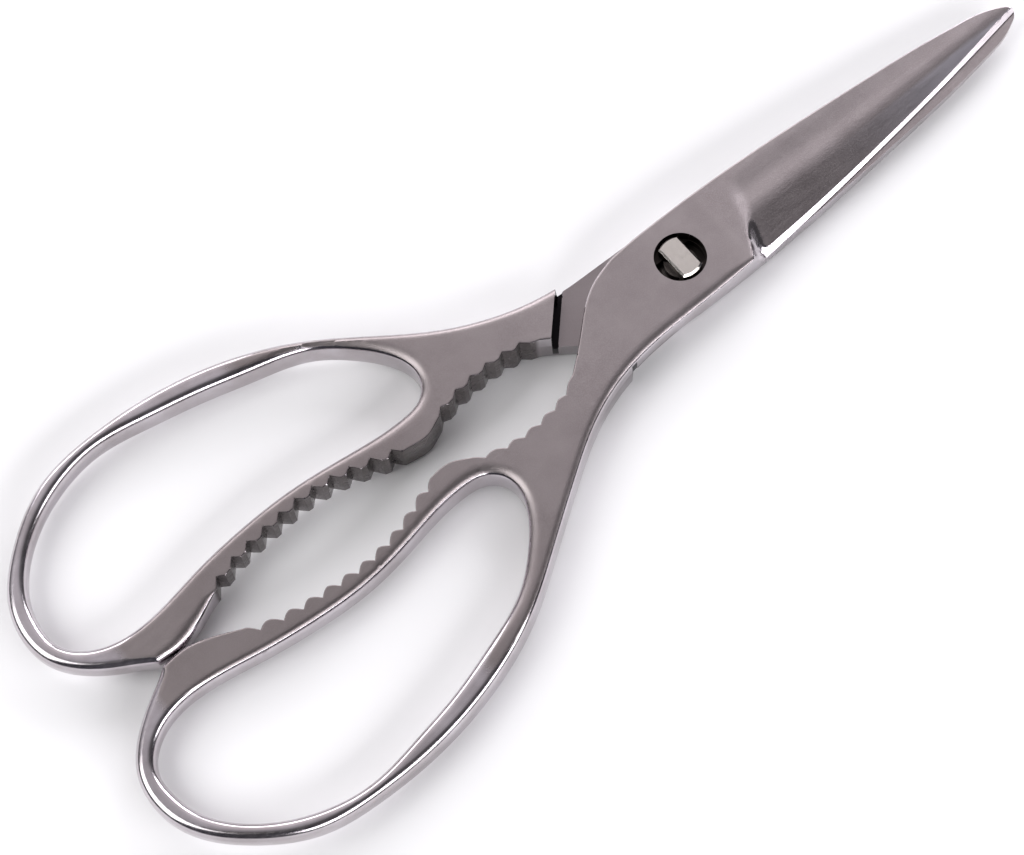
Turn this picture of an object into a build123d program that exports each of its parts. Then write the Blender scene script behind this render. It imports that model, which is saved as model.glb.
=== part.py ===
from build123d import *
import os
from math import atan, degrees, radians, tan

# Take-apart poultry shears, closed and lying flat. Millimetres.
# Origin: pivot axis on the resting plane. +X runs along the blades to the tips, +Z is up.
# Both halves share one forging shape: the rear half is the front half turned over about X,
# with both handles set a little towards -Y.

THICK = 7.4              # full thickness of the bolster
MID = THICK / 2          # height of the plane where the two halves slide on each other
LAP_GAP = 0.04           # each lap face stands this far back from the middle plane

HOLE_R = 4.6             # round counterbore around the stud head
SHELF_TOP = MID + 1.5    # the stud head runs on this shelf
SLOT_L, SLOT_W = 8.9, 4.75   # take-apart slot through the shelf
NECK_R = 2.95            # round neck of the stud
BORE_R = 3.0             # bore that turns on the neck
HEAD_L, HEAD_W = 8.0, 4.3    # oblong stud head
HEAD_TOP = THICK + 0.3
RIVET_R = 3.4            # riveted end in the rear half
RIVET_RECESS = 0.25      # riveted end sits above the resting plane

TOOTH_ANGLE = 62         # included angle of the tooth grooves
TOOTH_DEPTH = 1.35       # groove depth at the outer face
TOOTH_TILT = 3           # the grooves are a little shallower at the inner face
GROOVE_W, GROOVE_DEPTH = 1.0, 0.7   # relief groove at the foot of the step

# Outline of one half, seen from the face that carries its bevel.
SPINE = [(-9.5, 7.6), (-4, 8.0), (2, 8.1), (10, 8.05), (20, 7.8), (30, 7.3), (40, 6.6),
         (50, 5.85), (60, 4.95), (68, 3.9), (74, 2.7), (77.3, 1.15)]
TIP = (78.1, -0.35)
EDGE = [(61, -3.0), (41, -5.6), (24, -7.5), (12, -8.6)]
HANDLE = [(12, -8.6), (0, -9.1), (-12, -9.4), (-20, -10.1), (-30, -13.0), (-40, -18.4), (-50, -25.4),
          (-60, -32.3), (-69, -36.6), (-79, -39.6), (-89, -41.1), (-99, -41.3), (-109.7, -39.7),
          (-120.2, -33.4), (-126.8, -25.7), (-128.7, -18.8), (-127.7, -12.7), (-123.2, -6.9),
          (-118.2, -3.4), (-113.5, -0.5)]
JAW = [(-113.5, -0.5), (-110, -0.25), (-106.5, -0.8), (-101.5, -2.9), (-97, -4.9), (-91.2, -6.4),
       (-84, -7.2), (-77, -7.6), (-70, -6.7), (-65, -5.3), (-61, -3.9), (-57.5, -3.2), (-54, -3.2),
       (-51.4, -4.4), (-47.6, -5.75), (-41.5, -6.65), (-36.1, -6.5), (-32, -5.7), (-28.4, -4.3)]
SHOULDER = [(-28.4, -4.3), (-24, -0.9), (-19.6, 2.9), (-15, 5.9), (-9.5, 7.6)]
FINGER_HOLE = [(-48.4, -14), (-49.2, -11.1), (-51.4, -9.1), (-55, -8.4), (-61, -8.7), (-69, -10.0),
               (-79, -11.1), (-89, -10.8), (-99, -9.6), (-108.5, -8.0), (-117, -8.3), (-121.7, -10.5),
               (-124.5, -14), (-124.9, -18.8), (-123.5, -24.3), (-117.8, -31.4), (-108.3, -36.8),
               (-98.7, -38.6), (-89, -37.3), (-79.3, -35.3), (-69.6, -32.5), (-60, -28.9),
               (-54.0, -24), (-50.0, -19)]

# Tooth grooves: position along X of each groove in the two rows of the jaw.
ROW_LONG = [-60.5, -64.2, -67.9, -71.4, -74.9, -78.4, -82.0, -85.6, -89.3, -93.0, -97.0]
ROW_SHORT = [-31.5, -34.8, -38.3, -41.8, -45.3, -49.2]

# Sideways set of the handles at points along X: outer side, jaw and finger hole.
ARM_SET = [(-14, 0), (-28, 0.8), (-40, 1.7), (-50, 1.6), (-75, 0.9), (-100, 0.6), (-140, 0.6)]
JAW_SET = [(-14, 0), (-40, 1.25), (-50, 1.1), (-57, 0.6), (-66, 0.8), (-100, 0.6), (-140, 0.6)]
HOLE_SET = [(-40, 0.3), (-58, 0.4), (-75, 0.9), (-100, 0.6), (-140, 0.6)]

STEP = [(-19.6, -10.2), (-28.6, -0.7)]       # foot of the step between handle and lap face

# Thickness of the handle, tapering from the bolster to the end of the finger loop.
TAPER = [(-14, THICK), (-45, 6.9), (-75, 6.0), (-105, 5.4), (-132, 4.5)]

# Blade face: height of the flat near the plunge and at the tip, and the wide bevel below it.
FACE_START, FACE_TIP = (9, THICK + 0.1), (77, MID + 1.15)
BEVEL = [(13.6, 0.3, 7.33), (10.6, -8.6, MID + 0.85), (77.9, -0.35, MID + 0.75)]
HONE_W, HONE_H = 1.0, 0.85   # run and rise of the honed edge
ROUND = 1.0              # rounding of the handle and loop edges


def between(points, x):
    """Value at x on the line through the points, which run towards -X."""
    for (x0, y0), (x1, y1) in zip(points, points[1:]):
        if x0 >= x >= x1:
            return y0 + (y1 - y0) * (x - x0) / (x1 - x0)
    return points[0][1]


def moved(points, side, offsets):
    """The points with their sideways set, for the front half (side -1) or the rear half (+1)."""
    return [(x, y + side * between(offsets, x)) for x, y in points]


def outline(side):
    """The flat outline of one half, without teeth."""
    blade = Spline(*SPINE) + Spline(SPINE[-1], TIP, tangents=[(0.75, -0.66), (-0.4, -0.9)])
    blade += Spline(TIP, *EDGE)
    handle = Spline(*moved(HANDLE, side, ARM_SET), tangents=[(-1, -0.04), (1, 0.7)])
    handle += Spline(*moved(JAW, side, JAW_SET), tangents=[(1, 0.1), (1, 0.45)])
    handle += Spline(*moved(SHOULDER, side, JAW_SET))
    hole = Spline(*moved(FINGER_HOLE, side, HOLE_SET), periodic=True)
    return make_face(blade + handle) - make_face(hole)


def taper_body():
    """A lens-sided block that thins the handle towards the loop end."""
    top = [(x, MID + t / 2) for x, t in TAPER]
    low = [(x, MID - t / 2) for x, t in reversed(TAPER)]
    end_top, end_low = (90, THICK), (90, 0)
    lines = Line(end_top, top[0]) + Spline(*top, tangents=[(-1, 0), (-1, -0.03)])
    lines += Line(top[-1], low[0]) + Spline(*low, tangents=[(1, -0.03), (1, 0)])
    lines += Line(low[-1], end_low) + Line(end_low, end_top)
    return extrude(Plane.XZ.offset(-60) * make_face(lines), 120)


def jaw_y(x, side):
    """Height of the jaw line at x, read from its points."""
    return between(JAW[::-1], x) + side * between(JAW_SET, x)


def tooth_groove(x, side):
    """A tilted V prism, deepest at the upper face."""
    half = 5 * tan(radians(TOOTH_ANGLE / 2))
    wedge = make_face(Polyline((0, 0), (half, 5), (-half, 5), close=True))
    turn = degrees(atan((jaw_y(x + 1.5, side) - jaw_y(x - 1.5, side)) / 3))
    place = Pos(x, jaw_y(x, side) - TOOTH_DEPTH, THICK) * Rot(Z=turn) * Rot(X=TOOTH_TILT)
    return place * extrude(wedge, 12, both=True)


def lap_pocket():
    """What is taken from the underside so that the other half can lie there."""
    (x0, y0), (x1, y1) = STEP
    dx, dy = x1 - x0, y1 - y0
    start, end = (x0 - dx, y0 - dy), (x1 + dx, y1 + dy)
    room = make_face(Polyline(start, end, (-20, 25), (90, 25), (90, -25), close=True))
    room = extrude(Pos(0, 0, -1) * room, MID + LAP_GAP + 1)
    along = Plane(origin=(x0, y0, MID), x_dir=(dx, dy, 0), z_dir=(0, 0, 1))
    groove = Box(60, GROOVE_W, 2 * GROOVE_DEPTH, align=(Align.CENTER, Align.MAX, Align.CENTER))
    return room + along.location * groove


def face_cutter():
    """Removes what lies above the flat of the blade."""
    (x0, z0), (x1, z1) = FACE_START, FACE_TIP
    plane = Plane(origin=(x0, 0, z0), x_dir=(x1 - x0, 0, z1 - z0), z_dir=(z0 - z1, 0, x1 - x0))
    return plane.location * Box(100, 60, 20, align=(Align.MIN, Align.CENTER, Align.MIN))


def bevel_cutter():
    """Removes what lies above the wide bevel, with a curved plunge at its heel."""
    inner, heel, tip = (Vector(*p) for p in BEVEL)
    along = (inner - heel).normalized()
    normal = (tip - heel).cross(along).normalized()
    frame = Plane(origin=heel, x_dir=along.cross(normal), z_dir=normal)
    run = Line((100, 0), (2.6, 0)) + TangentArc((2.6, 0), (-1.0, 2.4), tangent=(-1, 0))
    run += Polyline((-1.0, 2.4), (-4.2, 10), (100, 10), (100, 0))
    return frame.location * extrude(Plane.XZ * make_face(run), 60, both=True)


def round_handle(body):
    """Rounds the outer edges of the handle and the edges of the finger hole."""
    edges = body.edges().filter_by(GeomType.BSPLINE)
    outer = [e for e in edges if e.center().Y < -8 and e.center().X < 5]
    return fillet(outer, ROUND)


def hone_cutter():
    """A three-sided bar along the cutting edge, for the honed bevel."""
    path = Spline(TIP, *EDGE)
    frame = Plane(origin=(*TIP, MID), x_dir=(-(path % 0).Y, (path % 0).X, 0), z_dir=path % 0)
    slope = HONE_H / HONE_W
    bar = make_face(Polyline((2, 0.05 - 2 * slope), (-1.6, 0.05 + 1.6 * slope), (2, 4), close=True))
    return sweep(frame * bar, path=Pos(0, 0, MID) * path)


def half_body(side):
    """One half of the shears, without its pivot features."""
    body = round_handle(extrude(outline(side), THICK) & taper_body())
    for x in ROW_LONG + ROW_SHORT:
        body -= tooth_groove(x, side)
    body -= lap_pocket()
    body -= face_cutter()
    body -= bevel_cutter()
    return body - hone_cutter()


def front_half():
    """The half with the counterbore and the take-apart slot."""
    low, high = (0, 0, MID), (0, 0, SHELF_TOP)
    body = half_body(-1)
    body -= Pos(*high) * Cylinder(HOLE_R, THICK, align=(Align.CENTER, Align.CENTER, Align.MIN))
    body -= Pos(*low) * Cylinder(BORE_R, 6, align=(Align.CENTER, Align.CENTER, Align.CENTER))
    slot = make_face(Circle(SLOT_L / 2).edges()) & Rectangle(20, SLOT_W)
    return body - Pos(0, 0, MID - 1) * extrude(slot, 4)


def rear_half():
    """The turned-over half, with a plain hole for the stud."""
    body = Pos(0, 0, THICK) * Rot(X=180) * half_body(1)
    return body - Pos(0, 0, -1) * Cylinder(RIVET_R, 8, align=(Align.CENTER, Align.CENTER, Align.MIN))


def pivot_stud():
    """Riveted foot, round neck and oblong head, turned and milled from one bar."""
    foot_h = MID - LAP_GAP - RIVET_RECESS
    foot = Pos(0, 0, RIVET_RECESS) * Cylinder(RIVET_R, foot_h, align=(Align.CENTER, Align.CENTER, Align.MIN))
    neck_h = SHELF_TOP + 0.05 - MID + LAP_GAP
    neck = Pos(0, 0, MID - LAP_GAP) * Cylinder(NECK_R, neck_h, align=(Align.CENTER, Align.CENTER, Align.MIN))
    head = Circle(HEAD_L / 2) & Rectangle(HEAD_W, 20)
    head = Pos(0, 0, SHELF_TOP + 0.05) * extrude(head, HEAD_TOP - SHELF_TOP - 0.05)
    head = chamfer(head.edges().group_by(Axis.Z)[-1], 0.35)
    return foot + neck + head


def main():
    os.makedirs("parts", exist_ok=True)
    nodes = {"front_half": front_half(), "rear_half": rear_half(), "pivot_stud": pivot_stud()}
    for name, node in nodes.items():
        export_step(node, f"parts/{name}.step")


main()
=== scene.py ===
import math

import bpy
import numpy as np
from mathutils import Matrix, Vector
from mathutils.geometry import delaunay_2d_cdt


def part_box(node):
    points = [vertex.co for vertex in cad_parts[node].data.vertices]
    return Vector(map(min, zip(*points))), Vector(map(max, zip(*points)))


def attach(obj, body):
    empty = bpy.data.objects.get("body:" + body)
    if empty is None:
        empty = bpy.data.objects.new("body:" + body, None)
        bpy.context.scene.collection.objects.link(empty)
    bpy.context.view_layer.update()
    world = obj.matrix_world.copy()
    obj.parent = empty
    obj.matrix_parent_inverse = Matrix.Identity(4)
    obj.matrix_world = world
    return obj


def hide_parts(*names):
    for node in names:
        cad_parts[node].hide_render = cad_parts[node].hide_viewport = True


# Take-apart poultry shears, closed and lying flat. The frame is in metres, the shapes are in mm.
MM = 0.001
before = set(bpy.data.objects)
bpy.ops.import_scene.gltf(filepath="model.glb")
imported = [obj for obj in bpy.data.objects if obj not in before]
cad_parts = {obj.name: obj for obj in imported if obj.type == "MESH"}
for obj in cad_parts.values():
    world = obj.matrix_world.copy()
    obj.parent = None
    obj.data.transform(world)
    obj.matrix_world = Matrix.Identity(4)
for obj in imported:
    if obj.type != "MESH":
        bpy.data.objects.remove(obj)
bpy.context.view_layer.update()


# ---------------------------------------------------------------- shape of the halves, in mm
# Each half is drawn as seen from the face that carries its bevel. The rear half is turned over.
THICK, MID, LAP = 7.4, 3.7, 3.74     # full thickness, sliding plane, face that slides
HONE_FOOT = 3.96                     # height of the cutting edge under the honed face
HONE_SLOPE = 0.85
HOLE_R, SHELF = 4.6, 5.2             # counterbore round the stud head, and its floor
BORE_R, SLOT_R, SLOT_HALF = 3.0, 4.45, 2.375
RIVET_R = 3.4
PLUNGE_R = 4.2                       # hollow at the heel of the bevel
SPINE = [(-9.5, 7.6), (-4, 8.0), (2, 8.1), (10, 8.05), (20, 7.8), (30, 7.3), (40, 6.6),
         (50, 5.85), (60, 4.95), (68, 3.9), (74, 2.7), (77.3, 1.15)]
TIP = (78.1, -0.35)
EDGE = [(61, -3.0), (41, -5.6), (24, -7.5), (12, -8.6)]
ARM = [(12, -8.6), (0, -9.1), (-12, -9.4), (-20, -10.1), (-30, -13.0), (-40, -18.4), (-50, -25.4),
       (-60, -32.3), (-69, -36.6), (-79, -39.6), (-89, -41.1), (-99, -41.3), (-109.7, -39.7),
       (-120.2, -33.4), (-126.8, -25.7), (-128.7, -18.8), (-127.7, -12.7), (-123.2, -6.9),
       (-118.2, -3.4), (-113.5, -0.5)]
JAW = [(-113.5, -0.5), (-110, -0.25), (-106.5, -0.8), (-101.5, -2.9), (-97, -4.9), (-91.2, -6.4),
       (-84, -7.2), (-77, -7.6), (-70, -6.7), (-65, -5.3), (-61, -3.9), (-57.5, -3.2), (-54, -3.2),
       (-51.4, -4.4), (-47.6, -5.75), (-41.5, -6.65), (-36.1, -6.5), (-32, -5.7), (-28.4, -4.3)]
SHOULDER = [(-28.4, -4.3), (-24, -0.9), (-19.6, 2.9), (-15, 5.9), (-9.5, 7.6)]
LOOP = [(-48.4, -14), (-49.2, -11.1), (-51.4, -9.1), (-55, -8.4), (-61, -8.7), (-69, -10.0),
        (-79, -11.1), (-89, -10.8), (-99, -9.6), (-108.5, -8.0), (-117, -8.3), (-121.7, -10.5),
        (-124.5, -14), (-124.9, -18.8), (-123.5, -24.3), (-117.8, -31.4), (-108.3, -36.8),
        (-98.7, -38.6), (-89, -37.3), (-79.3, -35.3), (-69.6, -32.5), (-60, -28.9),
        (-54.0, -24), (-50.0, -19)]
TEETH = [[-31.5, -34.8, -38.3, -41.8, -45.3, -49.2],
         [-60.5, -64.2, -67.9, -71.4, -74.9, -78.4, -82.0, -85.6, -89.3, -93.0, -97.0]]
TOOTH_DEPTH = (0.8, 1.25)
STEP = [(-19.6, -10.2), (-28.6, -0.7)]
TAPER = [(-132, 4.5), (-105, 5.4), (-75, 6.0), (-45, 6.9), (-14, THICK), (80, THICK)]
BEVEL = [(13.6, 0.3, 7.33), (10.6, -8.6, 4.55), (77.9, -0.35, 4.45)]

# Sideways set of the handles at points along X: outer side, jaw and finger hole.
ARM_SET = [(-140, 0.6), (-100, 0.6), (-75, 0.9), (-50, 1.6), (-40, 1.7), (-28, 0.8), (-14, 0)]
JAW_SET = [(-140, 0.6), (-100, 0.6), (-66, 0.8), (-57, 0.6), (-50, 1.1), (-40, 1.25), (-14, 0)]
LOOP_SET = [(-140, 0.6), (-100, 0.6), (-75, 0.9), (-58, 0.4), (-40, 0.3)]

# Rounding along each stretch of the outline: x, how far in it reaches, how far down.
ROUND = {
    "spine": [(-10, 0.35, 0.3), (78, 0.25, 0.2)],
    "edge": [(0, 0.0, 0.0)],
    "arm": [(-130, 1.45, 1.7), (-60, 1.4, 1.5), (-32, 1.5, 1.2), (-12, 1.9, 0.9), (4, 1.7, 0.8),
            (11, 0.4, 0.3)],
    "jaw": [(-113.5, 0.8, 0.9), (-106, 0.6, 0.5), (-99, 0.2, 0.2), (-28, 0.2, 0.2)],
    "hook": [(-113.5, 1.5, 1.4), (-106, 2.2, 1.7), (-100.5, 1.5, 1.1), (-98.6, 0.2, 0.2),
             (-28, 0.2, 0.2)],
    "shoulder": [(-28, 0.3, 0.3), (-10, 0.45, 0.4)],
    "loop": [(-125, 1.4, 1.7), (-75, 1.5, 1.5), (-58, 2.1, 1.4), (-48, 2.1, 1.3)],
    "bore": [(0, 0.12, 0.12)],
}


def table(x, rows, column=1):
    return np.interp(x, [r[0] for r in rows], [r[column] for r in rows])


def curve(points, start=None, end=None, closed=False, step=0.35):
    """Points about one step apart on the smooth curve through the given ones."""
    p = np.array(list(points) + ([points[0]] if closed else []), float)
    h = np.linalg.norm(np.diff(p, axis=0), axis=1)
    n = len(p)
    a, b = np.zeros((n, n)), np.zeros((n, 2))
    chord = np.diff(p, axis=0) / h[:, None]
    for i in range(1, n - 1):
        a[i, i - 1:i + 2] = h[i], 2 * (h[i - 1] + h[i]), h[i - 1]
        b[i] = 3 * (h[i] * chord[i - 1] + h[i - 1] * chord[i])
    a[0, :2], b[0] = (2, 1), 3 * chord[0]
    a[-1, -2:], b[-1] = (1, 2), 3 * chord[-1]
    if closed:
        a[0], a[-1] = 0, 0
        a[0, [0, 1, n - 2]] = 2 * (h[0] + h[-1]), h[-1], h[0]
        b[0] = 3 * (h[0] * chord[-1] + h[-1] * chord[0])
        a[-1, [0, n - 1]], b[-1] = (1, -1), 0
    for row, way in ((0, start), (-1, end)):
        if way is not None:
            a[row], b[row] = 0, np.array(way) / np.hypot(*way)
            a[row, row] = 1
    m = np.linalg.solve(a, b)
    out = []
    for i in range(n - 1):
        t = np.linspace(0, 1, int(np.ceil(h[i] / step)) + 1)[:-1, None]
        out.append((1 + 2 * t) * (1 - t) ** 2 * p[i] + t * (1 - t) ** 2 * h[i] * m[i]
                   + t * t * (3 - 2 * t) * p[i + 1] + t * t * (t - 1) * h[i] * m[i + 1])
    return np.vstack(out)


def moved(points, side, offsets):
    """The points with their sideways set, for the front half (side -1) or the rear half (+1)."""
    return [(x, y + side * table(x, offsets)) for x, y in points]


def cut_teeth(line, side):
    """Cuts the jaw line: sharp valleys between round lobes on the front half, plain Vs on the rear."""
    line = line.copy()
    for row, depth in zip(TEETH, TOOTH_DEPTH):
        for x in row:
            for corner in (x - 1.3, x, x + 1.3):
                line[np.abs(line[:, 0] - corner).argmin(), 0] = corner
        gap = np.abs(line[:, :1] - np.array(row)[None]).min(axis=1)
        lobe = np.clip(1 - gap / 1.8, 0, 1) ** 1.6
        vee = np.clip(1 - gap / 1.3, 0, 1)
        line[:, 1] -= depth * (lobe if side < 0 else vee)
    return line


def circle(radius):
    turn = np.radians(np.arange(0, 360, 3.0))[:, None]
    return radius * np.hstack([np.cos(turn), np.sin(turn)])


def outlines(side):
    """Closed outlines of one half, the outer one first: points, and the name of each point's stretch."""
    arm = moved(ARM, side, ARM_SET)
    jaw = moved(JAW, side, JAW_SET)
    shoulder = moved(SHOULDER, side, JAW_SET)
    parts = [
        ("spine", curve(SPINE)),
        ("spine", curve([SPINE[-1], TIP], (0.75, -0.66), (-0.4, -0.9), step=0.15)),
        ("edge", curve([TIP] + EDGE)),
        ("arm", curve(arm, (-1, -0.04), (1, 0.7))),
        ("jaw" if side < 0 else "hook", cut_teeth(curve(jaw, (1, 0.1), (1, 0.45), step=0.18), side)),
        ("shoulder", curve(shoulder)),
    ]
    outer = (np.vstack([p for _, p in parts]), [k for k, p in parts for _ in p])
    loop = curve(moved(LOOP, side, LOOP_SET), closed=True)
    unit = circle(1.0)
    reach = RIVET_R
    if side < 0:
        slot = SLOT_HALF / np.maximum(np.abs(unit[:, 1:]), 0.01)
        reach = np.maximum(BORE_R, np.minimum(SLOT_R, slot))
    bore = reach * unit
    return [outer, (loop, ["loop"] * len(loop)), (bore, ["bore"] * len(bore))]


def inside(p, ring):
    """Which of the points p lie inside the closed ring."""
    a, b = ring, np.roll(ring, -1, axis=0)
    hit = np.zeros(len(p), bool)
    for (x0, y0), (x1, y1) in zip(a, b):
        if y0 != y1:
            between = (p[:, 1] > min(y0, y1)) & (p[:, 1] <= max(y0, y1))
            hit ^= between & (p[:, 0] < x0 + (p[:, 1] - y0) * (x1 - x0) / (y1 - y0))
    return hit


class Rim:
    """All outlines of a half as one set of points, with the distance of any point from them."""

    def __init__(self, rings):
        self.rings = [p for p, _ in rings]
        self.p = np.vstack(self.rings)
        names = [k for _, kinds in rings for k in kinds]
        self.names = np.array(names)
        self.after = np.concatenate([np.roll(np.arange(len(r)), -1) + s for r, s in self.spans()])
        self.before = np.argsort(self.after)
        along = self.p[self.after] - self.p[self.before]
        along /= np.linalg.norm(along, axis=1)[:, None]
        self.inward = np.stack([along[:, 1], -along[:, 0]], axis=1)
        for r, s in self.spans():
            probe = r + 0.01 * self.inward[s:s + len(r)]
            good = inside(probe, self.rings[0])
            if s:
                good = ~inside(probe, r)
            if good.mean() < 0.5:
                self.inward[s:s + len(r)] *= -1
        self.run = np.array([table(x, ROUND[k], 1) for x, k in zip(self.p[:, 0], names)])
        self.rise = np.array([table(x, ROUND[k], 2) for x, k in zip(self.p[:, 0], names)])
        for _ in range(6):
            self.run = (self.run[self.before] + 2 * self.run + self.run[self.after]) / 4
            self.rise = (self.rise[self.before] + 2 * self.rise + self.rise[self.after]) / 4

    def spans(self):
        start = 0
        for r in self.rings:
            yield r, start
            start += len(r)

    def nearest(self, q):
        """For each point: index of the nearest outline point and the distance from the outline."""
        index, gap = np.zeros(len(q), int), np.zeros(len(q))
        for i in range(0, len(q), 2000):
            c = q[i:i + 2000]
            d = ((c[:, None] - self.p[None]) ** 2).sum(axis=2)
            k = d.argmin(axis=1)
            best = np.sqrt(d[np.arange(len(c)), k])
            for other in (self.before[k], self.after[k]):
                a, ab = self.p[k], self.p[other] - self.p[k]
                t = np.clip(((c - a) * ab).sum(1) / (ab ** 2).sum(1), 0, 1)
                best = np.minimum(best, np.linalg.norm(a + t[:, None] * ab - c, axis=1))
            index[i:i + 2000], gap[i:i + 2000] = k, best
        return index, gap


def soft_min(a, b, k):
    h = np.clip(0.5 + (b - a) / (2 * k), 0, 1)
    return b + (a - b) * h - k * h * (1 - h)


def bevel_plane():
    inner, heel, tip = (np.array(v) for v in BEVEL)
    normal = np.cross(inner - heel, tip - heel)
    return heel, normal / normal[2], (inner - heel)[:2] / np.linalg.norm((inner - heel)[:2])


def ahead_of_plunge(q):
    """Distance of each point from the heel line of the bevel, positive towards the tip."""
    heel, _, along = bevel_plane()
    return (q[:, 0] - heel[0]) * along[1] - (q[:, 1] - heel[1]) * along[0]


def bevel_height(q):
    """Height of the wide bevel and of the curved plunge at its heel."""
    heel, normal, _ = bevel_plane()
    z = heel[2] - ((q - heel[:2]) * normal[:2]).sum(axis=1)
    back = np.maximum(3.0 - ahead_of_plunge(q), 0)
    arc = np.minimum(back, 3.6)
    return z + PLUNGE_R - np.sqrt(PLUNGE_R ** 2 - arc ** 2) + 1.6 * (back - arc)


def face_height(q):
    """Height of the blade's flat, which is ground a little lower than the bolster."""
    t = np.clip((ahead_of_plunge(q) + 0.8) / 3.4, 0, 1)
    fade = np.clip((7.2 - q[:, 1]) / 5, 0, 1)
    drop = 0.34 * t * t * (3 - 2 * t) * fade * fade * (3 - 2 * fade)
    tip_slope = THICK - (q[:, 0] - 9) * 2.55 / 68
    return np.minimum(tip_slope, THICK) - drop * np.clip((70 - q[:, 0]) / 40, 0, 1)


def hone_height(q, edge):
    """Height of the narrow honed edge; it runs out at the heel."""
    best = np.full(len(q), 99.0)
    ahead = q[:, 0] > 8
    c = q[ahead]
    gap = np.full(len(c), 99.0)
    for a, b in zip(edge, edge[1:]):
        ab = b - a
        t = np.clip(((c - a) @ ab) / (ab @ ab), 0, 1)
        gap = np.minimum(gap, np.linalg.norm(a + t[:, None] * ab - c, axis=1))
    best[ahead] = gap
    return HONE_FOOT + HONE_SLOPE * best + 4 * np.maximum(1.0 - ahead_of_plunge(q), 0)


def step_side(q):
    """Distance from the foot of the step, positive on the lap side."""
    (x0, y0), (x1, y1) = STEP
    length = math.hypot(x1 - x0, y1 - y0)
    return ((q[:, 0] - x0) * (y1 - y0) - (q[:, 1] - y0) * (x1 - x0)) / length


def heights(q, rim, side):
    """Upper and lower height of the half at each point."""
    near, gap = rim.nearest(q)
    thick = table(q[:, 0], TAPER)
    top = np.minimum(MID + thick / 2, THICK)
    blade = q[:, 0] > 4
    top[blade] = np.minimum(top, face_height(q))[blade]
    top[blade] = soft_min(top, bevel_height(q), 0.5)[blade]
    lap = step_side(q) > 0
    low = np.where(lap, LAP, MID - thick / 2)
    low = np.where(lap & (step_side(q) < 1.0), MID + 0.7, low)
    run = np.maximum(rim.run[near], 1e-6)
    rise = np.minimum(rim.rise[near], 0.45 * (top - low))
    roll = 1 - np.sqrt(np.clip(1 - np.clip(1 - gap / run, 0, 1) ** 2, 0, 1))
    top = top - rise * roll
    low = np.where(lap, low, low + rise * roll)
    top = np.minimum(top, hone_height(q, rim.p[rim.names == "edge"]))
    if side < 0:
        r = np.hypot(*q.T)
        top = np.where(r < HOLE_R, SHELF, top)
    return np.maximum(top, low + 0.02), low


def within(points, rim):
    """The points that lie on the metal: inside the outer outline and outside the holes."""
    points = points[inside(points, rim.rings[0])]
    for ring in rim.rings[1:]:
        points = points[~inside(points, ring)]
    return points


def rows_along_rim(rim):
    """Rows of points that follow the outline over its rounding, evenly spaced round the curve."""
    rows = []
    for degrees in (12, 25, 38, 52, 66, 78, 90, 105):
        deep = rim.run * (1 - math.cos(math.radians(degrees)))
        use = deep > 0.012
        if degrees in (12, 38, 66, 78):
            use &= rim.run > 0.6
        row = (rim.p + rim.inward * deep[:, None])[use]
        _, gap = rim.nearest(row)
        rows.append(row[gap > 0.93 * deep[use]])
    return rows


def rows_along_hone(rim):
    """Rows on and beside the line where the honed face meets the wide bevel."""
    heel, normal, _ = bevel_plane()
    edge = rim.names == "edge"
    p, n = rim.p[edge], rim.inward[edge]
    slope = -(n * normal[:2]).sum(axis=1)
    rise = heel[2] - ((p - heel[:2]) * normal[:2]).sum(axis=1) - HONE_FOOT
    width = rise / (HONE_SLOPE - slope)
    return [p + n * (width + extra)[:, None] for extra in (-0.6, -0.3, -0.06, 0, 0.06, 0.35, 0.75)]


def rows_along_step():
    """Pairs of rows at both walls of the relief groove."""
    (x0, y0), (x1, y1) = STEP
    along = np.array([x1 - x0, y1 - y0]) / math.hypot(x1 - x0, y1 - y0)
    across = np.array([along[1], -along[0]])
    t = np.arange(-3, 18, 0.3)[:, None]
    return [np.array([[x0, y0]]) + along * t + across * s for s in (-0.02, 0.02, 0.98, 1.02)]


def grid_points(rim, side):
    """A grid over the rest of the half, finer on the blade, clear of all the rows."""
    grids = []
    for start, end, pitch in ((-130, 6, 0.9), (6, 79, 0.5)):
        x, y = np.meshgrid(np.arange(start, end, pitch), np.arange(-45, 12, pitch * 0.87))
        x[1::2] += pitch / 2
        grids.append(np.stack([x.ravel(), y.ravel()], axis=1))
    grid = within(np.vstack(grids), rim)
    near, gap = rim.nearest(grid)
    clear = (gap > 1.35 * rim.run[near] + 0.25) & ((rim.names[near] != "edge") | (gap > 2.2))
    away = np.abs(step_side(grid) - 0.5) > 0.75
    away |= np.hypot(grid[:, 0] + 24, grid[:, 1] + 5.5) > 12
    if side < 0:
        away &= np.abs(np.hypot(*grid.T) - HOLE_R) > 0.5
    return grid[clear & away]


def fill_points(rim, side):
    """All points inside the outline."""
    rows = rows_along_rim(rim) + rows_along_hone(rim) + rows_along_step()
    if side < 0:
        rows += [circle(HOLE_R + extra) for extra in (-0.3, -0.03, 0.03, 0.3)]
    return np.vstack([within(np.vstack(rows), rim), grid_points(rim, side)])


def thin_out(points, least=0.008):
    """Drops points that fall on others."""
    keys = np.round(points / least).astype(np.int64)
    _, first = np.unique(keys[:, 0] * 1000003 + keys[:, 1], return_index=True)
    return points[np.sort(first)]


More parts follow.
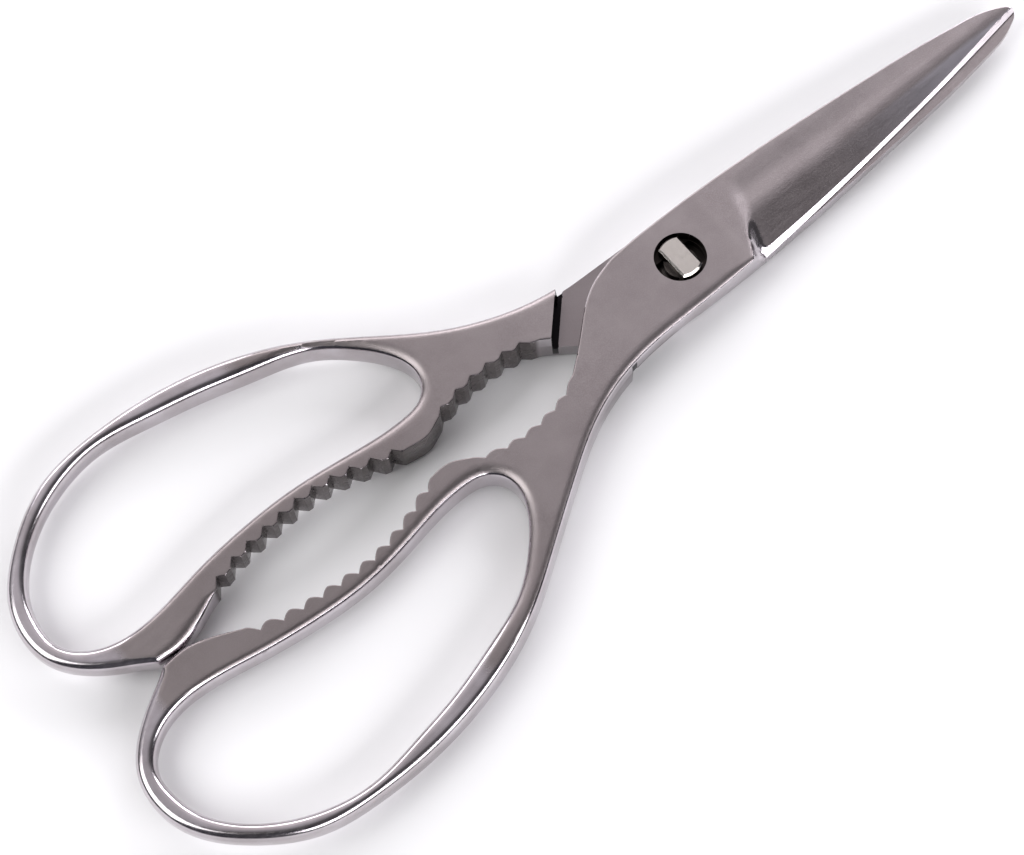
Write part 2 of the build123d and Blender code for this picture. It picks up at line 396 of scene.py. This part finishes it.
def skin(rim, side):
    """Points of the half and the triangles over them, all turned the same way."""
    points = np.vstack([rim.p, thin_out(fill_points(rim, side))])
    edges = [(i, int(rim.after[i])) for i in range(len(rim.p))]
    verts, _, faces, _, _, _ = delaunay_2d_cdt([Vector(p) for p in points.tolist()], edges, [], 1, 1e-5)
    q = np.array([tuple(v) for v in verts])
    tri = np.array([f for f in faces if len(f) == 3])
    middle = q[tri].mean(axis=1)
    keep = inside(middle, rim.rings[0])
    for ring in rim.rings[1:]:
        keep &= ~inside(middle, ring)
    tri = tri[keep]
    a, b, c = q[tri[:, 0]], q[tri[:, 1]], q[tri[:, 2]]
    area = (b[:, 0] - a[:, 0]) * (c[:, 1] - a[:, 1]) - (b[:, 1] - a[:, 1]) * (c[:, 0] - a[:, 0])
    tri[area < 0] = tri[area < 0][:, ::-1]
    return q, tri


def open_sides(tri, n):
    """Triangle sides that no second triangle shares; the walls stand on these."""
    sides = np.vstack([tri[:, [0, 1]], tri[:, [1, 2]], tri[:, [2, 0]]]).astype(np.int64)
    return sides[~np.isin(sides[:, 0] * n + sides[:, 1], sides[:, 1] * n + sides[:, 0])]


def sharpen(mesh, crest):
    """Sharp edges where faces meet at an angle, and along the crest of the honed face."""
    mesh.shade_smooth()
    mesh.set_sharp_from_angle(angle=math.radians(24))
    ends = np.zeros(2 * len(mesh.edges), np.int32)
    mesh.edges.foreach_get("vertices", ends)
    sharp = np.zeros(len(mesh.edges), bool)
    mark = mesh.attributes["sharp_edge"]
    mark.data.foreach_get("value", sharp)
    mark.data.foreach_set("value", sharp | (crest[ends[::2]] & crest[ends[1::2]]))


def build_half(name, side, room):
    """The mesh of one half: upper and lower skins over the same points, joined by walls.
    It is kept inside room, the box of the half in the frame."""
    rim = Rim(outlines(side))
    q, tri = skin(rim, side)
    n = len(q)
    top, low = heights(q, rim, side)
    body = np.vstack([np.column_stack([q, top]), np.column_stack([q, low])])
    if side > 0:
        body[:, 1] *= -1
        body[:, 2] = THICK - body[:, 2]
    body = np.clip(body * MM, room[0], room[1])
    walls = [(int(i), int(i + n), int(j + n), int(j)) for i, j in open_sides(tri, n)]
    skins = [tuple(t) for t in tri.tolist() + (tri[:, ::-1] + n).tolist()]
    mesh = bpy.data.meshes.new(name)
    mesh.from_pydata(body.tolist(), [], skins + walls)
    mesh.validate()
    crest = np.abs(bevel_height(q) - hone_height(q, rim.p[rim.names == "edge"])) < 0.01
    sharpen(mesh, np.concatenate([crest, np.zeros(n, bool)]))
    obj = bpy.data.objects.new(name, mesh)
    bpy.context.collection.objects.link(obj)
    return obj


# ---------------------------------------------------------------- node helpers
class Graph:
    """A material's node tree, with one short call for each kind of node that the steel needs."""

    def __init__(self, name):
        self.material = bpy.data.materials.new(name)
        self.material.use_nodes = True
        self.tree = self.material.node_tree
        self.tree.nodes.clear()
        self.shader = self.add("ShaderNodeBsdfPrincipled")
        out = self.add("ShaderNodeOutputMaterial")
        self.link(self.shader.outputs["BSDF"], out.inputs["Surface"])
        coords = self.add("ShaderNodeTexCoord")
        self.place = coords.outputs["Object"]
        self.normal = self.split(coords.outputs["Normal"])
        self.xyz = self.split(self.place)

    def add(self, kind, **settings):
        node = self.tree.nodes.new(kind)
        for key, value in settings.items():
            setattr(node, key, value)
        return node

    def link(self, a, b):
        self.tree.links.new(a, b)

    def feed(self, socket, value):
        if isinstance(value, bpy.types.NodeSocket):
            self.link(value, socket)
        else:
            socket.default_value = value

    def split(self, vector):
        node = self.add("ShaderNodeSeparateXYZ")
        self.link(vector, node.inputs[0])
        return node.outputs

    def math(self, operation, a, b=0.0, c=0.0):
        node = self.add("ShaderNodeMath", operation=operation)
        for socket, value in zip(node.inputs, (a, b, c)):
            self.feed(socket, value)
        return node.outputs[0]

    def ramp(self, value, low, high, to_low=0.0, to_high=1.0):
        """Goes smoothly from to_low at value low to to_high at value high, and stays there."""
        node = self.add("ShaderNodeMapRange", interpolation_type="SMOOTHSTEP")
        for socket, v in zip(node.inputs, (value, low, high, to_low, to_high)):
            self.feed(socket, v)
        return node.outputs[0]

    def mix(self, factor, a, b):
        node = self.add("ShaderNodeMix", data_type="RGBA")
        self.feed(node.inputs[0], factor)
        self.feed(node.inputs[6], a)
        self.feed(node.inputs[7], b)
        return node.outputs[2]

    def blend(self, factor, a, b):
        """Mix of two plain values."""
        node = self.add("ShaderNodeMix", data_type="FLOAT")
        for socket, value in zip((node.inputs[0], node.inputs[2], node.inputs[3]), (factor, a, b)):
            self.feed(socket, value)
        return node.outputs[0]

    def noise(self, scale, detail=3.0, stretch=(1, 1, 1), rough=0.5, turn=0.0):
        """Noise of that many features per millimetre, drawn out along an axis by a small stretch."""
        mapping = self.add("ShaderNodeMapping")
        self.link(self.place, mapping.inputs["Vector"])
        mapping.inputs["Rotation"].default_value = (0, 0, math.radians(turn))
        mapping.inputs["Scale"].default_value = [s / MM for s in stretch]
        node = self.add("ShaderNodeTexNoise")
        self.link(mapping.outputs[0], node.inputs["Vector"])
        node.inputs["Scale"].default_value = scale
        node.inputs["Detail"].default_value = detail
        node.inputs["Roughness"].default_value = rough
        return node.outputs[0]

    def bump(self, height, distance, strength=1.0):
        node = self.add("ShaderNodeBump")
        node.inputs["Strength"].default_value = strength
        node.inputs["Distance"].default_value = distance
        self.feed(node.inputs["Height"], height)
        self.link(node.outputs[0], self.shader.inputs["Normal"])


def grey(level, warm=0.0):
    return (level * (1 + warm), level, level * (1 - 0.4 * warm), 1)


# ---------------------------------------------------------------- materials
def from_pivot(g):
    """Distance from the axis of the pivot."""
    x, y, _ = g.xyz
    return g.math("SQRT", g.math("ADD", g.math("MULTIPLY", x, x), g.math("MULTIPLY", y, y)))


def loop_mask(g):
    """The round finger loops."""
    x, y, _ = g.xyz
    outside = g.ramp(g.math("ABSOLUTE", y), 0.014, 0.021)
    loops = g.math("MULTIPLY", g.ramp(x, -0.085, -0.050, 1, 0), outside)
    return g.math("MAXIMUM", loops, g.ramp(x, -0.125, -0.104, 1, 0))


def satin_mask(g, up, loops):
    """The flats and the part of their rolled edges that is satin: less on the loops and the blade."""
    edge_at = g.math("MULTIPLY_ADD", loops, 0.35, 0.72)
    edge_at = g.math("ADD", edge_at, g.ramp(g.xyz[0], 0.008, 0.011, 0, 0.14))
    return g.ramp(g.math("SUBTRACT", up, edge_at), 0.0, 0.06)


def jaw_mask(g, up):
    """The jaw walls between the handles, where shade is painted into the colour."""
    x, y, _ = g.xyz
    reach = g.math("MULTIPLY_ADD", g.math("ABSOLUTE", g.math("ADD", x, 0.056)), 0.28, 0.0058)
    reach = g.math("MINIMUM", reach, 0.0093)
    beyond = g.math("SUBTRACT", g.math("ABSOLUTE", g.math("ADD", y, 0.0008)), reach)
    jaw = g.math("MULTIPLY", g.ramp(beyond, 0.0002, -0.0002), g.ramp(x, -0.0285, -0.0295))
    jaw = g.math("MULTIPLY", jaw, g.ramp(x, -0.0995, -0.0985))
    return g.math("MULTIPLY", jaw, g.ramp(up, 0.7, 0.5))


def lap_mask(g):
    """The sunk lap face in front of the step, where shade is painted."""
    x, _, z = g.xyz
    sunk = g.math("MULTIPLY", g.ramp(x, -0.030, -0.027), g.ramp(z, 0.0046, 0.0040))
    return g.math("MULTIPLY", sunk, g.ramp(x, -0.008, -0.010))


def bore_mask(g):
    """The inside of the counterbore, below its rounded mouth, where shade is painted."""
    wall = g.ramp(from_pivot(g), (HOLE_R + 0.02) * MM, (HOLE_R - 0.02) * MM)
    return g.math("MULTIPLY", wall, g.ramp(g.xyz[2], 0.0072, 0.0068))


def groove_mask(g):
    """The relief groove at the foot of the step, 1 mm wide, where shade is painted."""
    x, y, z = g.xyz
    (x0, y0), (x1, y1) = STEP
    dx, dy = x1 - x0, y1 - y0
    length = math.hypot(dx, dy)
    shift = (y0 * dx - x0 * dy) / length * MM
    side = g.math("ABSOLUTE", y)
    foot = g.math("MULTIPLY_ADD", x, dy / length, g.math("MULTIPLY_ADD", side, dx / length, shift))
    groove = g.math("MULTIPLY", g.ramp(foot, -0.00006, 0.0), g.ramp(foot, 0.00106, 0.00100))
    depth = g.math("ABSOLUTE", g.math("SUBTRACT", z, MID * MM))
    return g.math("MULTIPLY", groove, g.ramp(depth, 0.0030, 0.0026))


def satin_tone(g, up, blotch, grain):
    """Colour of the satin: painted shade darker towards the loops, and a painted pale sheen on the bevel
    towards the tip.
    """
    x = g.xyz[0]
    tone = g.mix(blotch, (0.34, 0.30, 0.305, 1), (0.41, 0.365, 0.37, 1))
    tone = g.mix(g.ramp(grain, 0.35, 0.75, 0, 0.35), tone, (0.50, 0.455, 0.46, 1))
    # painted shade: the satin darkens towards the loops
    tone = g.mix(g.ramp(x, -0.085, -0.010, 0.55, 0.08), tone, (0.19, 0.165, 0.16, 1))
    # painted highlight: the bevel turns pale lavender towards the tip, where it catches more light
    painted_tip_sheen = g.math("MULTIPLY", g.ramp(x, 0.030, 0.072, 0, 0.6), g.ramp(up, 0.985, 0.965))
    return g.mix(painted_tip_sheen, tone, (0.85, 0.83, 0.92, 1))


def steel_colour(g, up, satin, jaw, grain):
    """Satin or polished steel, with painted shade on the jaw walls, the sunk lap face, the counterbore
    and the relief groove.
    """
    blotch = g.ramp(g.noise(0.10, 4, rough=0.6), 0.3, 0.7)
    polished = g.mix(blotch, (0.47, 0.43, 0.445, 1), (0.62, 0.58, 0.61, 1))
    # painted shade: the jaw walls get a dark colour that stands in for the shade on the tooth walls
    painted_jaw_shade = g.mix(blotch, (0.13, 0.115, 0.112, 1), (0.22, 0.20, 0.20, 1))
    colour = g.mix(satin, polished, satin_tone(g, up, blotch, grain))
    colour = g.mix(jaw, colour, painted_jaw_shade)
    # painted shade: the sunk lap face is darkened as if in the shadow of the step
    colour = g.mix(g.math("MULTIPLY", lap_mask(g), 0.5), colour, (0.20, 0.175, 0.18, 1))
    # painted shade: the inside of the counterbore is painted almost black
    colour = g.mix(bore_mask(g), colour, (0.035, 0.03, 0.028, 1))
    # painted shade: the relief groove is painted near black
    return g.mix(groove_mask(g), colour, (0.012, 0.011, 0.012, 1))


def steel_roughness(g, up, satin, jaw, loops, grain, hair):
    """Matt satin, glossy polish, a duller jaw and a duller honed edge."""
    matt = g.ramp(g.math("ADD", grain, g.math("MULTIPLY", hair, 0.4)), 0.4, 1.0, 0.30, 0.42)
    gloss = g.math("MULTIPLY_ADD", loops, 0.08, g.ramp(hair, 0.25, 0.75, 0.07, 0.15))
    honed = g.math("MULTIPLY", g.ramp(g.xyz[0], 0.011, 0.013), g.ramp(up, 0.86, 0.80))
    dull = g.math("MULTIPLY_ADD", jaw, 0.18, g.blend(satin, gloss, matt))
    return g.math("MULTIPLY_ADD", honed, 0.20, dull)


def steel(name):
    """Satin on the flats and their rolled edges, polished on walls and on the round finger loops."""
    g = Graph(name)
    up = g.math("ABSOLUTE", g.normal[2])
    grain = g.noise(5.0, 2)
    hair = g.noise(2.2, 3, stretch=(0.05, 1, 1), turn=8)
    loops = loop_mask(g)
    satin = satin_mask(g, up, loops)
    jaw = jaw_mask(g, up)
    g.feed(g.shader.inputs["Base Color"], steel_colour(g, up, satin, jaw, grain))
    g.shader.inputs["Metallic"].default_value = 1.0
    g.link(steel_roughness(g, up, satin, jaw, loops, grain, hair), g.shader.inputs["Roughness"])
    height = g.math("MULTIPLY", g.math("MULTIPLY_ADD", hair, 0.3, grain), g.math("ADD", satin, 0.08))
    g.bump(height, 0.03 * MM, 0.6)
    return g.material


def stud_metal(name):
    """The stud: satin end with fine turning marks, bright rounded edges, painted shade on its side down
    in the counterbore.
    """
    g = Graph(name)
    rings = g.math("SINE", g.math("MULTIPLY", from_pivot(g), 26000.0))
    grain = g.noise(12.0, 2)
    flat = g.ramp(g.math("ABSOLUTE", g.normal[2]), 0.9, 0.98)
    tone = g.mix(g.ramp(grain, 0.3, 0.7), (0.60, 0.56, 0.52, 1), (0.74, 0.70, 0.66, 1))
    # painted shade: the stud is painted dark below the mouth of the counterbore
    tone = g.mix(g.ramp(g.xyz[2], 0.0060, 0.0072), (0.10, 0.09, 0.085, 1), tone)
    g.feed(g.shader.inputs["Base Color"], tone)
    g.shader.inputs["Metallic"].default_value = 1.0
    matt = g.ramp(g.math("MULTIPLY_ADD", rings, 0.15, grain), 0.3, 0.8, 0.24, 0.36)
    g.link(g.blend(flat, 0.14, matt), g.shader.inputs["Roughness"])
    g.bump(g.math("MULTIPLY_ADD", rings, 0.2, grain), 0.015 * MM, 0.5)
    return g.material


def dress(node, material, width=0.12):
    """Gives a CAD node its material and a small worked edge."""
    node.data.materials.clear()
    node.data.materials.append(material)
    bevel = node.modifiers.new("worked_edge", "BEVEL")
    bevel.width = width * MM
    bevel.segments = 3
    bevel.limit_method = "ANGLE"
    bevel.angle_limit = math.radians(35)
    bevel.harden_normals = True


half_steel = steel("forged_steel")
stud_steel = stud_metal("turned_steel")
for side, half, body in ((-1, "front_half", "front"), (1, "rear_half", "rear")):
    forging = build_half(half + "_forging", side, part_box(half))
    forging.data.materials.append(half_steel)
    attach(forging, body)
    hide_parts(half)
dress(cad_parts["pivot_stud"], stud_steel, 0.3)


# ---------------------------------------------------------------- floor, light, camera
LENS, SENSOR = 105.33, 36.0          # mm
CAMERA_ROLL = -8.749                 # degrees about the line of sight
CAMERA_PLACE = (-0.14524, -0.17726, 0.47451)
CAMERA_TARGET = (-0.04161, -0.00462, 0.0037)
FLOOR_HALF, FLOOR_DROP = 3.0, 0.0002


def build_floor():
    mesh = bpy.data.meshes.new("floor")
    s = FLOOR_HALF
    mesh.from_pydata([(-s, -s, 0), (s, -s, 0), (s, s, 0), (-s, s, 0)], [], [(0, 1, 2, 3)])
    floor = bpy.data.objects.new("floor", mesh)
    floor.location.z = -FLOOR_DROP
    bpy.context.collection.objects.link(floor)
    g = Graph("pale_floor")
    g.feed(g.shader.inputs["Base Color"], g.mix(g.noise(0.02, 2), grey(0.90), grey(0.93)))
    g.shader.inputs["Roughness"].default_value = 0.6
    g.shader.inputs["Specular IOR Level"].default_value = 0.2
    mesh.materials.append(g.material)


def aim(obj, place, target, roll=0.0):
    """Puts obj at place, looking along its own -Z at target, and rolls it about that line."""
    look = (Vector(target) - Vector(place)).normalized()
    turn = look.to_track_quat("-Z", "Y").to_matrix().to_4x4()
    obj.matrix_world = Matrix.Translation(place) @ turn @ Matrix.Rotation(math.radians(roll), 4, "Z")


def softbox(name, place, target, size, power, colour=(1, 1, 1)):
    light = bpy.data.lights.new(name, "AREA")
    light.shape = "RECTANGLE"
    light.size, light.size_y = size
    light.energy = power
    light.color = colour
    obj = bpy.data.objects.new(name, light)
    bpy.context.collection.objects.link(obj)
    aim(obj, place, target)


def build_world():
    world = bpy.data.worlds.new("studio")
    bpy.context.scene.world = world
    world.use_nodes = True
    tree = world.node_tree
    tree.nodes.clear()
    coords = tree.nodes.new("ShaderNodeTexCoord")
    lean = tree.nodes.new("ShaderNodeVectorMath")
    ramp = tree.nodes.new("ShaderNodeValToRGB")
    sky = tree.nodes.new("ShaderNodeBackground")
    out = tree.nodes.new("ShaderNodeOutputWorld")
    lean.operation = "DOT_PRODUCT"
    lean.inputs[1].default_value = Vector((0.30, 0.72, 0.62)).normalized()
    tree.links.new(coords.outputs["Generated"], lean.inputs[0])
    tree.links.new(lean.outputs["Value"], ramp.inputs[0])
    tree.links.new(ramp.outputs[0], sky.inputs["Color"])
    tree.links.new(sky.outputs[0], out.inputs["Surface"])
    stops = ramp.color_ramp.elements
    stops[0].position, stops[0].color = 0.0, (0.05, 0.05, 0.06, 1)
    stops[1].position, stops[1].color = 1.0, (0.95, 0.90, 0.92, 1)
    for place, level in ((0.35, 0.07), (0.62, 0.16), (0.82, 0.52)):
        stops.new(place).color = (level, level * 0.97, level * 1.02, 1)
    sky.inputs["Strength"].default_value = 1.0


def build_camera():
    camera = bpy.data.cameras.new("camera")
    camera.lens = LENS
    camera.sensor_width = SENSOR
    camera.clip_start = 0.01
    obj = bpy.data.objects.new("camera", camera)
    bpy.context.collection.objects.link(obj)
    aim(obj, CAMERA_PLACE, CAMERA_TARGET, CAMERA_ROLL)
    bpy.context.scene.camera = obj


build_floor()
build_world()
softbox("key", (0.05, -1.05, 0.60), (0, 0, 0), (1.6, 0.45), 13.5, (0.98, 0.97, 1.0))
softbox("side", (-0.9, 0.35, 0.9), (0, 0, 0), (1.0, 1.0), 9)
softbox("far", (0.25, 1.1, 0.5), (0, 0, 0), (1.2, 0.5), 5.5, (0.98, 0.97, 1.0))
softbox("rim", (0.9, 0.45, 0.45), (0, 0, 0), (0.6, 0.5), 6.5, (0.96, 0.95, 1.0))
build_camera()
bpy.context.scene.view_settings.view_transform = "Standard"
